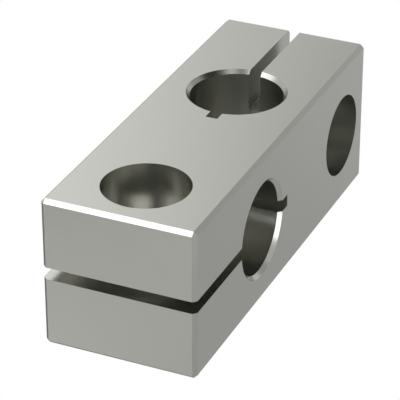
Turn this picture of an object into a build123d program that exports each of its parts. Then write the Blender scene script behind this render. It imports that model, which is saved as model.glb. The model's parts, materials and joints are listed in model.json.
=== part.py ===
from build123d import *
import os

# Two-way clamping block, one piece of machined steel. It holds two round rods that
# cross at right angles: one lies across the block near its front end, the other
# stands up through it near its back end. Each rod bore is opened by a saw slit to the
# nearest end of the block, and a cap screw across that slit draws the two jaws
# together on the rod.
#
# The long axis runs along Y, front end at -Y. The origin is at the middle of the
# underside, with Z up. All sizes are in millimetres.

# Block
block_width = 20.0
block_height = 20.0
edge_chamfer = 0.5

# Rods and where they pass
rod_diameter = 12.0
rod_clearance = 0.02
rod_spacing = 15.0
rod_to_end = 20.0
mouth_chamfer = 0.5

# Slits that free the jaws
slit_width = 1.6
slit_overrun = 2.0

# M6 cap screws that close the jaws
screw_diameter = 6.0
thread_pitch = 1.0
head_diameter = 10.0
head_clearance = 1.0
metal_under_head = 3.5
shank_clearance = 0.6
screw_to_end = 8.0
thread_lead_in = 0.2

# Sizes that follow
block_length = rod_spacing + 2 * rod_to_end
bore_radius = (rod_diameter + rod_clearance) / 2
slit_length = bore_radius + slit_overrun + rod_to_end
screw_offset = rod_to_end - screw_to_end
seat_radius = (head_diameter + head_clearance) / 2
shank_hole_radius = (screw_diameter + shank_clearance) / 2
tapped_hole_radius = (screw_diameter - thread_pitch) / 2
lead_in_radius = screw_diameter / 2 + thread_lead_in

# The two clamps are alike: the second is the first turned a quarter turn about the
# long axis and set end for end. In each clamp's plane the rod runs along y through
# the origin, x points to the clamp's own end and z points out of its screw seat.
front_clamp = Plane(
    origin=(0, -rod_spacing / 2, block_height / 2), x_dir=(0, -1, 0), z_dir=(0, 0, 1)
)
back_clamp = Plane(
    origin=(0, rod_spacing / 2, block_height / 2), x_dir=(0, 1, 0), z_dir=(1, 0, 0)
)
# Along its screw the front clamp measures the block's height, the back one its width.
clamps = [(front_clamp, block_height, block_width), (back_clamp, block_width, block_height)]

with BuildPart() as clamp_block:
    # Bar of rectangular section, every outer edge chamfered
    with BuildSketch(Plane.XY) as footprint:
        Rectangle(block_width, block_length)
    extrude(amount=block_height)
    chamfer(clamp_block.edges(), length=edge_chamfer)

    for clamp, screw_span, rod_span in clamps:
        jaw_thickness = (screw_span - slit_width) / 2
        across = Plane(origin=clamp.origin, x_dir=clamp.x_dir, z_dir=clamp.y_dir)

        # Rod bore right through, with a chamfered mouth on each side
        with BuildSketch(across) as rod_bore:
            Circle(bore_radius)
        extrude(amount=rod_span / 2, both=True, mode=Mode.SUBTRACT)
        bore_mouths = clamp_block.edges(Select.LAST).filter_by(GeomType.CIRCLE)
        chamfer(bore_mouths, length=mouth_chamfer)

        # Saw slit from the end of the block through the bore, stopping just past it
        with BuildSketch(across) as slit:
            with Locations((rod_to_end, 0)):
                Rectangle(slit_length, slit_width, align=(Align.MAX, Align.CENTER))
        extrude(amount=rod_span / 2, both=True, mode=Mode.SUBTRACT)

        # Screw seat and shank hole through the first jaw
        seat_depth = jaw_thickness - metal_under_head
        seat_face = clamp.offset(screw_span / 2)
        with Locations(seat_face):
            with Locations((screw_offset, 0)):
                CounterBoreHole(
                    radius=shank_hole_radius,
                    counter_bore_radius=seat_radius,
                    counter_bore_depth=seat_depth,
                    depth=jaw_thickness + slit_width / 2,
                )

        # Tapped hole through the second jaw, countersunk where the thread comes out
        thread_face = Plane(
            origin=clamp.offset(-screw_span / 2).origin, x_dir=clamp.x_dir, z_dir=-clamp.z_dir
        )
        with Locations(thread_face):
            with Locations((screw_offset, 0)):
                CounterSinkHole(
                    radius=tapped_hole_radius,
                    counter_sink_radius=lead_in_radius,
                    depth=jaw_thickness + slit_width / 2,
                    counter_sink_angle=90,
                )

clamp_block.part.label = "clamp_block"

os.makedirs("parts", exist_ok=True)
export_step(clamp_block.part, "parts/clamp_block.step")
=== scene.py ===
"""Looks of the two-way clamping block: finely machined steel, with the real threads in it.

The block is made again here with smoother bores and with the two M6 threads cut as
helices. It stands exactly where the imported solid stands. Shapes are worked out in
millimetres and turned into metres once, at the end of machined_block().
"""

import json
from collections import namedtuple
from itertools import product
from math import cos, pi, radians, sin, tan, tau

import bmesh
import bpy
from mathutils import Matrix, Vector


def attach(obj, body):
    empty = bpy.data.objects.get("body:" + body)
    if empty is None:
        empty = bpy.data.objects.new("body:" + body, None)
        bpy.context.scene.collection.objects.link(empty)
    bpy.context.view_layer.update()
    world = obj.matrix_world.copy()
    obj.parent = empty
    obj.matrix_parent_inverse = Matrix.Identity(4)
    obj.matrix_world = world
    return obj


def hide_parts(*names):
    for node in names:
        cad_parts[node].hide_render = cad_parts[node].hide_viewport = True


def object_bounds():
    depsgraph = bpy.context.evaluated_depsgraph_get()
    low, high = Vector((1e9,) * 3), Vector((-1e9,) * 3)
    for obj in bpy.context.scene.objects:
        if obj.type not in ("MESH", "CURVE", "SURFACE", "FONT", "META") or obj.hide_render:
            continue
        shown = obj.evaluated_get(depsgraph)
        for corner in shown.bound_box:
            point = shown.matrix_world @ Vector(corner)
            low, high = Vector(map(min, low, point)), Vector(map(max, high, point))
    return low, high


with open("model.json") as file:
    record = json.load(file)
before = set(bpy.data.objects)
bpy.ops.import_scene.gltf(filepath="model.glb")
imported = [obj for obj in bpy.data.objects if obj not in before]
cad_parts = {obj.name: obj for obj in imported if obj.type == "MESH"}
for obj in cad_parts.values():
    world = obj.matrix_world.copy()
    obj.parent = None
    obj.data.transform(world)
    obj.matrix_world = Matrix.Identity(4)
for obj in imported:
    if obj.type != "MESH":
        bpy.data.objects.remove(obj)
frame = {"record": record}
cad_low, cad_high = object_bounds()

# A millimetre in metres, axes by their number in a vector, and ends by the sign of their Y
MM = 0.001
X_AXIS = 0
Z_AXIS = 2
FRONT_END = -1
BACK_END = 1

# Sizes of the block that the record's mounts don't give, in millimetres
EDGE_CHAMFER = 0.5
MOUTH_CHAMFER = 0.5
SLIT_WIDTH = 1.6
SLIT_OVERRUN = 2.0

# Metric thread: sizes in millimetres, and the crest's width as a share of the pitch
THREAD_PITCH = 1.0
THREAD_RADIUS = 3.0
THREAD_FLANK = radians(30.0)
CREST_SHARE = 0.125
LEAD_IN = 0.2

# Cutting: how far a cutter stands out of the block, and how near points are joined
OVERCUT = 0.6
WELD_DISTANCE = 0.0005

# How finely round surfaces are divided, and from which angle an edge counts as sharp
BORE_SEGMENTS = 288
SEAT_SEGMENTS = 240
THREAD_SEGMENTS = 120
SHARP_ANGLE = radians(24.0)

# Bar: triangles within this angle are one face, and a face whose normal leans further
# than this towards Y belongs to an end
FLAT_ANGLE = radians(1.0)
END_LEAN = 0.1

# Bare steel: how much light it returns in red, green and blue, and how rough each cut leaves it
STEEL_COLOUR = (0.60, 0.60, 0.558)
GROUND_ROUGHNESS = 0.32
FACED_ROUGHNESS = 0.28
BORED_ROUGHNESS = 0.26
SAWN_ROUGHNESS = 0.26

# Tool marks and soft clouds: how fine they are, and how far they shift colour and roughness
MARK_DETAIL = 2.0
MARK_COLOUR = 0.03
CLOUD_PER_MM = 0.22
CLOUD_DETAIL = 2.0
CLOUD_COLOUR = 0.015
CLOUD_ROUGHNESS = 0.015
NOISE_MIDDLE = 0.5

# Marks per millimetre across and along each kind of cut, and their depth in millimetres
GROUND_MARKS = (16.0, 0.25)
GROUND_DEPTH = 0.0015
FACED_MARKS = (16.0, 0.20)
FACED_DEPTH = 0.0012
BORED_MARKS = (20.0, 0.20)
BORED_DEPTH = 0.0006
SAWN_MARKS = (10.0, 0.20)
SAWN_DEPTH = 0.0015

# Millimetres from the face cutter's axis to the underside, and from the saw's to the rod bore
FACE_CUTTER_REACH = 42.0
SAW_REACH = 38.0

# Surroundings: brightness above and below the horizon, and how far up and down the change
# between them reaches, where 1 is straight up
ABOVE_BRIGHTNESS = 0.0
BELOW_BRIGHTNESS = 0.2
HORIZON_BLEND = 0.15

# Backdrop and distance of the lights, in metres
FLOOR_SIZE = 1.44
FLOOR_GAP = 0.00005
DOME_RADIUS = 0.6
LIGHT_DISTANCE = 1.0

BLACK = (0.0, 0.0, 0.0, 1.0)
WHITE = (1.0, 1.0, 1.0, 1.0)

# Soft lights, as azimuth, elevation and half-angle in degrees and brightness. Seen from the
# block, azimuth 0 is -Y and 90 is +X. Each is named roughly after where it stands.
LIGHTS = {
    "front": (355.0, 5.0, 20.0, 1.6),
    "front_high": (325.0, 48.0, 11.0, 2.4),
    "front_low": (350.0, -22.0, 10.0, 1.1),
    "front_left_low": (322.0, -38.0, 12.0, 0.67),
    "left_high": (290.0, 47.0, 14.0, 1.1),
    "left_bank": (270.0, 50.0, 45.0, 0.6),
    "left_low": (248.0, -6.0, 18.0, 0.9),
    "back_left": (225.0, 40.0, 20.0, 0.65),
    "back": (208.0, 15.0, 17.0, 0.8),
    "back_mid": (162.0, 9.0, 14.0, 0.24),
    "back_low": (166.0, -20.0, 10.0, 0.5),
    "back_right": (140.0, 14.0, 30.0, 0.37),
    "right_low": (150.0, -3.0, 10.0, 1.5),
    "right_back": (100.0, 10.0, 25.0, 0.65),
    "right": (65.0, 0.0, 23.0, 1.8),
    "right_high": (38.0, 43.0, 21.0, 1.4),
    "below": (120.0, -65.0, 45.0, 0.24),
}

# Camera, solved from the photograph, in metres and degrees, with its lens in millimetres
CAMERA_TARGET = (0.0, -0.00396, 0.01001)
CAMERA_DISTANCE = 0.279185
CAMERA_AZIMUTH = 24.08
CAMERA_ELEVATION = 29.54
CAMERA_LENS = 200.21
SENSOR_WIDTH = 36.0
NEAREST_SEEN = 0.01
FARTHEST_SEEN = 20.0

Mount = namedtuple("Mount", "middle axis radius length")


def mount(name):
    """One of the record's mounts, in millimetres."""
    for entry in frame["record"]["mounts"]:
        if entry["name"] == name:
            middle = Vector(entry["pos_m"]) / MM
            axis = Vector(entry["axis"])
            return Mount(middle, axis, entry["dims"]["r_mm"], entry["dims"]["length_mm"])
    raise ValueError(name)


def in_scene(name, data):
    """New object with its data, linked to the scene."""
    made = bpy.data.objects.new(name, data)
    bpy.context.scene.collection.objects.link(made)
    return made


def solid(name, points, faces, material):
    """A closed mesh object with its normals facing out."""
    mesh = bpy.data.meshes.new(name)
    mesh.from_pydata(points, [], faces)
    mesh.materials.append(material)
    shape = bmesh.new()
    shape.from_mesh(mesh)
    bmesh.ops.recalc_face_normals(shape, faces=shape.faces)
    shape.to_mesh(mesh)
    shape.free()
    return in_scene(name, mesh)


def chamfered_bar(name, low, high, chamfer, long_material, end_material):
    """Rectangular bar along Y with every edge chamfered, and a small facet at each corner."""
    middle = (low + high) / 2
    half = (high - low) / 2
    shape = bmesh.new()
    for signs in product((-1, 1), repeat=3):
        for face_axis in range(3):
            reach = half - Vector((chamfer, chamfer, chamfer))
            reach[face_axis] = half[face_axis]
            corner = Vector(sign * length for sign, length in zip(signs, reach))
            shape.verts.new(middle + corner)
    bmesh.ops.convex_hull(shape, input=shape.verts)
    bmesh.ops.dissolve_limit(shape, angle_limit=FLAT_ANGLE, verts=shape.verts, edges=shape.edges)
    bmesh.ops.recalc_face_normals(shape, faces=shape.faces)
    for face in shape.faces:
        face.material_index = 1 if abs(face.normal.y) > END_LEAN else 0
    mesh = bpy.data.meshes.new(name)
    shape.to_mesh(mesh)
    shape.free()
    mesh.materials.append(long_material)
    mesh.materials.append(end_material)
    return in_scene(name, mesh)


def turned(name, profile, segments, material):
    """Solid of revolution about Z. The profile runs from axis to axis as (radius, height)."""
    points = [(0.0, 0.0, profile[0][1])]
    for radius, height in profile[1:-1]:
        for step in range(segments):
            angle = tau * step / segments
            points.append((radius * cos(angle), radius * sin(angle), height))
    points.append((0.0, 0.0, profile[-1][1]))
    last = len(points) - 1
    rings = len(profile) - 2
    faces = []
    for step in range(segments):
        after = (step + 1) % segments
        faces.append((0, 1 + after, 1 + step))
        for ring in range(rings - 1):
            lower = 1 + ring * segments
            upper = lower + segments
            faces.append((lower + step, lower + after, upper + after, upper + step))
        top = 1 + (rings - 1) * segments
        faces.append((top + step, top + after, last))
    return solid(name, points, faces, material)


def thread_profile(core_radius):
    """Section of one thread from its lower foot over the crest to its upper foot."""
    crest = THREAD_PITCH * CREST_SHARE
    foot = crest + 2 * (THREAD_RADIUS - core_radius) * tan(THREAD_FLANK)
    return (
        (core_radius, -foot / 2),
        (THREAD_RADIUS, -crest / 2),
        (THREAD_RADIUS, crest / 2),
        (core_radius, foot / 2),
    )


def helix_points(profile, bottom, last_step):
    """Points of a profile of (radius, height) that climbs one pitch in each turn about Z."""
    points = []
    for step in range(last_step + 1):
        angle = tau * step / THREAD_SEGMENTS
        rise = bottom + THREAD_PITCH * (0.5 + step / THREAD_SEGMENTS)
        for radius, height in profile:
            points.append((radius * cos(angle), radius * sin(angle), rise + height))
    return points


def helix_faces(rows, last_step):
    """Walls of the helix, and the two rims that are left open at its ends."""
    top_row = rows - 1

    def point(step, row):
        return step * rows + row

    # Flanks and crest: a strip of faces between each row of the profile and the next
    walls = []
    for step in range(last_step):
        for row in range(top_row):
            near = (point(step, row), point(step + 1, row))
            far = (point(step + 1, row + 1), point(step, row + 1))
            walls.append(near + far)

    # Core between the turns: the top of each turn joins the foot of the turn above it
    for step in range(last_step - THREAD_SEGMENTS):
        above = step + THREAD_SEGMENTS
        lower = (point(step, top_row), point(step + 1, top_row))
        upper = (point(above + 1, 0), point(above, 0))
        walls.append(lower + upper)

    low_rim = [point(step, 0) for step in range(THREAD_SEGMENTS + 1)]
    low_rim += [point(0, row) for row in range(top_row, 0, -1)]
    last_turn = range(last_step - THREAD_SEGMENTS, last_step + 1)
    high_rim = [point(step, top_row) for step in last_turn]
    high_rim += [point(last_step, row) for row in range(top_row - 1, -1, -1)]
    return walls, low_rim, high_rim


def fan(rim, tip):
    """Triangles from a closed rim to a tip."""
    return [(here, after, tip) for here, after in zip(rim, rim[1:] + rim[:1])]


def threaded_rod(name, bottom, top, core_radius, material):
    """Tapped hole as a solid: a core with a 60 degree thread on it and a cone at each end."""
    profile = thread_profile(core_radius)
    last_step = int((top - bottom) / THREAD_PITCH) * THREAD_SEGMENTS
    points = helix_points(profile, bottom, last_step)
    faces, low_rim, high_rim = helix_faces(len(profile), last_step)
    faces += fan(low_rim, len(points))
    points.append((0.0, 0.0, bottom - THREAD_PITCH))
    faces += fan(high_rim, len(points))
    points.append((0.0, 0.0, top + THREAD_PITCH))
    return solid(name, points, faces, material)


def block_cutter(name, low, high, material):
    """Plain rectangular cutter for a slit."""
    points = list(product(*zip(low, high)))
    faces = [(0, 1, 3, 2), (4, 6, 7, 5), (0, 4, 5, 1), (2, 3, 7, 6), (0, 2, 6, 4), (1, 5, 7, 3)]
    return solid(name, points, faces, material)


def place(piece, middle, axis):
    """Turns a piece's own Z to an axis and moves it to a point."""
    turn = Vector((0, 0, 1)).rotation_difference(axis).to_matrix().to_4x4()
    piece.data.transform(Matrix.Translation(middle) @ turn)
    return piece


def cut(body, tool):
    """Takes the tool's shape out of the body. The new faces keep the tool's material."""
    step = body.modifiers.new("cut", "BOOLEAN")
    step.operation = "DIFFERENCE"
    step.solver = "EXACT"
    step.material_mode = "TRANSFER"
    step.object = tool
    graph = bpy.context.evaluated_depsgraph_get()
    result = bpy.data.meshes.new_from_object(body.evaluated_get(graph), depsgraph=graph)
    body.modifiers.clear()
    old = body.data
    body.data = result
    bpy.data.meshes.remove(old)
    bpy.data.objects.remove(tool)


def weld(body):
    """Joins points that the cuts left on top of each other, and takes out faces with no area."""
    shape = bmesh.new()
    shape.from_mesh(body.data)
    bmesh.ops.remove_doubles(shape, verts=shape.verts, dist=WELD_DISTANCE)
    bmesh.ops.dissolve_degenerate(shape, dist=WELD_DISTANCE, edges=shape.edges)
    shape.to_mesh(body.data)
    shape.free()


def math_node(tree, kind, operation, inputs):
    """New math node. Each input is a value or the output of another node."""
    made = tree.nodes.new(kind)
    made.operation = operation
    for socket, value in zip(made.inputs, inputs):
        if isinstance(value, bpy.types.NodeSocket):
            tree.links.new(value, socket)
        else:
            socket.default_value = value
    return made


def number_math(tree, operation, *inputs):
    """Number worked out from numbers."""
    return math_node(tree, "ShaderNodeMath", operation, inputs).outputs["Value"]


def vector_math(tree, operation, *inputs):
    """Vector worked out from vectors."""
    return math_node(tree, "ShaderNodeVectorMath", operation, inputs).outputs["Vector"]


def vector_measure(tree, operation, *inputs):
    """Number worked out from vectors, such as a length."""
    return math_node(tree, "ShaderNodeVectorMath", operation, inputs).outputs["Value"]


def place_in_mm(tree):
    """Place on the block in millimetres."""
    coordinates = tree.nodes.new("ShaderNodeTexCoord")
    return vector_math(tree, "MULTIPLY", coordinates.outputs["Object"], (1 / MM, 1 / MM, 1 / MM))


def lengthwise_marks(across, along):
    """Coordinates for marks that run along the block."""
    def coordinates(tree):
        return vector_math(tree, "MULTIPLY", place_in_mm(tree), (across, along, across))
    return coordinates


def round_marks(across, along, middle, axis):
    """Coordinates for the marks of a tool that turns about an axis: circles and their depth."""
    def coordinates(tree):
        offset = vector_math(tree, "SUBTRACT", place_in_mm(tree), middle)
        lengthwise = vector_math(tree, "PROJECT", offset, axis)
        outwards = vector_math(tree, "SUBTRACT", offset, lengthwise)
        radius = vector_measure(tree, "LENGTH", outwards)
        depth = vector_measure(tree, "DOT_PRODUCT", offset, axis)
        together = tree.nodes.new("ShaderNodeCombineXYZ")
        tree.links.new(number_math(tree, "MULTIPLY", radius, across), together.inputs["X"])
        tree.links.new(number_math(tree, "MULTIPLY", depth, across), together.inputs["Y"])
        drift = vector_math(tree, "MULTIPLY", offset, (along, along, along))
        return vector_math(tree, "ADD", together.outputs["Vector"], drift)
    return coordinates


def noise(tree, coordinates, scale, detail):
    """Noise between about 0 and 1."""
    made = tree.nodes.new("ShaderNodeTexNoise")
    made.inputs["Scale"].default_value = scale
    made.inputs["Detail"].default_value = detail
    tree.links.new(coordinates, made.inputs["Vector"])
    return made.outputs["Fac"]


def varied(tree, middle, pattern, most):
    """A number that noise moves up and down about its middle, by at most the given amount."""
    swing = number_math(tree, "SUBTRACT", pattern, NOISE_MIDDLE)
    change = number_math(tree, "MULTIPLY", swing, most / NOISE_MIDDLE)
    return number_math(tree, "ADD", change, middle)


def steel(name, roughness, mark_coordinates, mark_depth):
    """Bare steel with the fine marks of the tool that cut it, and slight clouds in its satin."""
    material = bpy.data.materials.new(name)
    material.use_nodes = True
    tree = material.node_tree
    shader = tree.nodes["Principled BSDF"]
    shader.inputs["Metallic"].default_value = 1.0
    marks = noise(tree, mark_coordinates(tree), 1.0, MARK_DETAIL)
    cloud = noise(tree, place_in_mm(tree), CLOUD_PER_MM, CLOUD_DETAIL)
    marked = varied(tree, 1.0, marks, MARK_COLOUR)
    brightness = varied(tree, marked, cloud, CLOUD_COLOUR)
    colour = math_node(tree, "ShaderNodeVectorMath", "SCALE", [STEEL_COLOUR])
    tree.links.new(brightness, colour.inputs["Scale"])
    tree.links.new(colour.outputs["Vector"], shader.inputs["Base Color"])
    rough = varied(tree, roughness, cloud, CLOUD_ROUGHNESS)
    tree.links.new(rough, shader.inputs["Roughness"])
    bump = tree.nodes.new("ShaderNodeBump")
    bump.inputs["Distance"].default_value = mark_depth * MM
    tree.links.new(marks, bump.inputs["Height"])
    tree.links.new(bump.outputs["Normal"], shader.inputs["Normal"])
    return material


def ground_steel():
    """Long faces, ground lengthwise."""
    return steel("steel_ground", GROUND_ROUGHNESS, lengthwise_marks(*GROUND_MARKS), GROUND_DEPTH)


def faced_steel():
    """End faces, crossed by a wide milling cutter that turns about an axis below the block."""
    cutter_place = Vector((0.0, 0.0, -FACE_CUTTER_REACH))
    cutter_axis = Vector((0.0, 1.0, 0.0))
    marks = round_marks(*FACED_MARKS, cutter_place, cutter_axis)
    return steel("steel_faced", FACED_ROUGHNESS, marks, FACED_DEPTH)


def bored_steel(mount_name):
    """Walls of a bore, a screw seat or a thread, with the rings that turning leaves."""
    hole = mount(mount_name)
    marks = round_marks(*BORED_MARKS, hole.middle, hole.axis)
    return steel("steel_" + mount_name, BORED_ROUGHNESS, marks, BORED_DEPTH)


def sawn_steel(bore_name, end, across):
    """Walls of a slit, with the arcs of a large slitting saw that came in from the end."""
    saw_place = mount(bore_name).middle
    saw_place.y += end * SAW_REACH
    saw_axis = Vector((0.0, 0.0, 0.0))
    saw_axis[across] = 1.0
    marks = round_marks(*SAWN_MARKS, saw_place, saw_axis)
    return steel("steel_sawn_" + bore_name, SAWN_ROUGHNESS, marks, SAWN_DEPTH)


def rod_bore(bore_name):
    """Cutter for a rod bore right through the block, with a chamfered mouth at both ends."""
    bore = mount(bore_name)
    wall = bore.length / 2
    reach = wall + MOUTH_CHAMFER + OVERCUT
    mouth = bore.radius + MOUTH_CHAMFER + OVERCUT
    profile = (
        (0, -reach),
        (mouth, -reach),
        (bore.radius, -wall),
        (bore.radius, wall),
        (mouth, reach),
        (0, reach),
    )
    cutter = turned(bore_name, profile, BORE_SEGMENTS, bored_steel(bore_name))
    return place(cutter, bore.middle, bore.axis)


def screw_hole(seat_name, shank_name):
    """Cutter for a screw's flat-bottomed seat and the shank hole below it."""
    seat = mount(seat_name)
    shank = mount(shank_name)
    floor = -seat.length / 2
    bottom = floor - shank.length - SLIT_WIDTH / 2
    top = seat.length / 2 + OVERCUT
    profile = (
        (0, bottom),
        (shank.radius, bottom),
        (shank.radius, floor),
        (seat.radius, floor),
        (seat.radius, top),
        (0, top),
    )
    cutter = turned(seat_name, profile, SEAT_SEGMENTS, bored_steel(seat_name))
    return place(cutter, seat.middle, seat.axis)


def tapped_hole(thread_name):
    """Cutters for a threaded hole and for the countersink where it comes out."""
    material = bored_steel(thread_name)
    thread = mount(thread_name)
    mouth = THREAD_RADIUS + LEAD_IN
    sink = mouth - thread.radius
    inner_end = thread.length / 2
    outer_end = -inner_end - sink
    rod_end = outer_end - 2 * THREAD_PITCH
    rod = threaded_rod(thread_name, rod_end, inner_end, thread.radius, material)
    profile = (
        (0, outer_end - OVERCUT),
        (mouth + OVERCUT, outer_end - OVERCUT),
        (thread.radius - LEAD_IN, outer_end + sink + LEAD_IN),
        (0, outer_end + sink + LEAD_IN),
    )
    cone = turned(thread_name + "_mouth", profile, SEAT_SEGMENTS, material)
    return place(rod, thread.middle, thread.axis), place(cone, thread.middle, thread.axis)


def slit(bore_name, end, across):
    """Cutter for a saw slit from one end of the block to just past a rod bore."""
    bore = mount(bore_name)
    low = cad_low / MM
    high = cad_high / MM
    outside = (high.y if end == BACK_END else low.y) + end * OVERCUT
    notch = bore.middle.y - end * (bore.radius + SLIT_OVERRUN)
    low_corner = Vector((low.x - OVERCUT, min(outside, notch), low.z - OVERCUT))
    high_corner = Vector((high.x + OVERCUT, max(outside, notch), high.z + OVERCUT))
    low_corner[across] = bore.middle[across] - SLIT_WIDTH / 2
    high_corner[across] = bore.middle[across] + SLIT_WIDTH / 2
    material = sawn_steel(bore_name, end, across)
    return block_cutter(bore_name + "_slit", low_corner, high_corner, material)


def machined_block(name):
    """The block: chamfered bar with all its bores, slits, seats and threads cut into it."""
    low = cad_low / MM
    high = cad_high / MM
    block = chamfered_bar(name, low, high, EDGE_CHAMFER, ground_steel(), faced_steel())
    cutters = [
        rod_bore("rod_bore_across"),
        rod_bore("rod_bore_upright"),
        slit("rod_bore_across", FRONT_END, Z_AXIS),
        slit("rod_bore_upright", BACK_END, X_AXIS),
        screw_hole("front_screw_seat", "front_shank_hole"),
        screw_hole("back_screw_seat", "back_shank_hole"),
        *tapped_hole("front_thread"),
        *tapped_hole("back_thread"),
    ]
    for cutter in cutters:
        cut(block, cutter)
    weld(block)
    block.data.transform(Matrix.Scale(MM, 4))
    block.data.polygons.foreach_set("use_smooth", [True] * len(block.data.polygons))
    block.data.set_sharp_from_angle(angle=SHARP_ANGLE)
    block.data.update()
    return block


def backdrop_material():
    """White that shines evenly, as an overexposed backdrop does."""
    material = bpy.data.materials.new("backdrop_white")
    material.use_nodes = True
    shader = material.node_tree.nodes["Principled BSDF"]
    shader.inputs["Base Color"].default_value = BLACK
    shader.inputs["Specular IOR Level"].default_value = 0.0
    shader.inputs["Emission Color"].default_value = WHITE
    shader.inputs["Emission Strength"].default_value = 1.0
    return material


def stage_piece(piece, name, material):
    """Makes an object part of the backdrop, which the camera sees but the block doesn't."""
    piece.name = name
    piece.data.materials.append(material)
    piece.visible_diffuse = False
    piece.visible_glossy = False
    piece.visible_transmission = False
    piece.visible_shadow = False


def backdrop():
    """White floor and a white dome over it."""
    material = backdrop_material()
    bpy.ops.mesh.primitive_plane_add(size=FLOOR_SIZE, location=(0.0, 0.0, -FLOOR_GAP))
    stage_piece(bpy.context.active_object, "floor", material)
    bpy.ops.mesh.primitive_uv_sphere_add(radius=DOME_RADIUS, location=(0.0, 0.0, 0.0))
    stage_piece(bpy.context.active_object, "dome", material)


def direction(azimuth, elevation):
    """Unit vector from the block outwards. Azimuth 0 is -Y and 90 is +X."""
    a = radians(azimuth)
    e = radians(elevation)
    return Vector((sin(a) * cos(e), -cos(a) * cos(e), sin(e)))


def surroundings():
    """Dark room with a dim grey below the horizon, and a soft change between."""
    world = bpy.data.worlds.new("studio")
    world.use_nodes = True
    tree = world.node_tree
    coordinates = tree.nodes.new("ShaderNodeTexCoord")
    parts = tree.nodes.new("ShaderNodeSeparateXYZ")
    tree.links.new(coordinates.outputs["Generated"], parts.inputs["Vector"])
    change = tree.nodes.new("ShaderNodeMapRange")
    change.inputs["From Min"].default_value = -HORIZON_BLEND
    change.inputs["From Max"].default_value = HORIZON_BLEND
    change.inputs["To Min"].default_value = BELOW_BRIGHTNESS
    change.inputs["To Max"].default_value = ABOVE_BRIGHTNESS
    tree.links.new(parts.outputs["Z"], change.inputs["Value"])
    background = tree.nodes["Background"]
    background.inputs["Color"].default_value = WHITE
    tree.links.new(change.outputs["Result"], background.inputs["Strength"])
    bpy.context.scene.world = world


def soft_light(name, azimuth, elevation, half_angle, brightness):
    """Round soft light that the block sees as a disc of even brightness."""
    radius = LIGHT_DISTANCE * tan(radians(half_angle))
    data = bpy.data.lights.new(name, "AREA")
    data.shape = "DISK"
    data.size = 2 * radius
    # An even disc gives off pi watts per unit of brightness and square metre
    data.energy = brightness * pi * (pi * radius ** 2)
    out = direction(azimuth, elevation)
    light = in_scene(name, data)
    light.location = (cad_low + cad_high) / 2 + LIGHT_DISTANCE * out
    light.rotation_euler = out.to_track_quat("Z", "Y").to_euler()
    light.visible_camera = False


def studio():
    """Dark room with its soft lights."""
    surroundings()
    for name, values in LIGHTS.items():
        soft_light("light_" + name, *values)


def camera():
    """Camera at the photograph's angle."""
    data = bpy.data.cameras.new("camera")
    data.lens = CAMERA_LENS
    data.sensor_width = SENSOR_WIDTH
    data.clip_start = NEAREST_SEEN
    data.clip_end = FARTHEST_SEEN
    back = direction(CAMERA_AZIMUTH, CAMERA_ELEVATION)
    made = in_scene("camera", data)
    made.location = Vector(CAMERA_TARGET) + CAMERA_DISTANCE * back
    made.rotation_euler = back.to_track_quat("Z", "Y").to_euler()
    bpy.context.scene.camera = made


block = machined_block("clamp_block_look")
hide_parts("clamp_block")
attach(block, "root")
backdrop()
studio()
camera()
bpy.context.scene.view_settings.view_transform = "Standard"
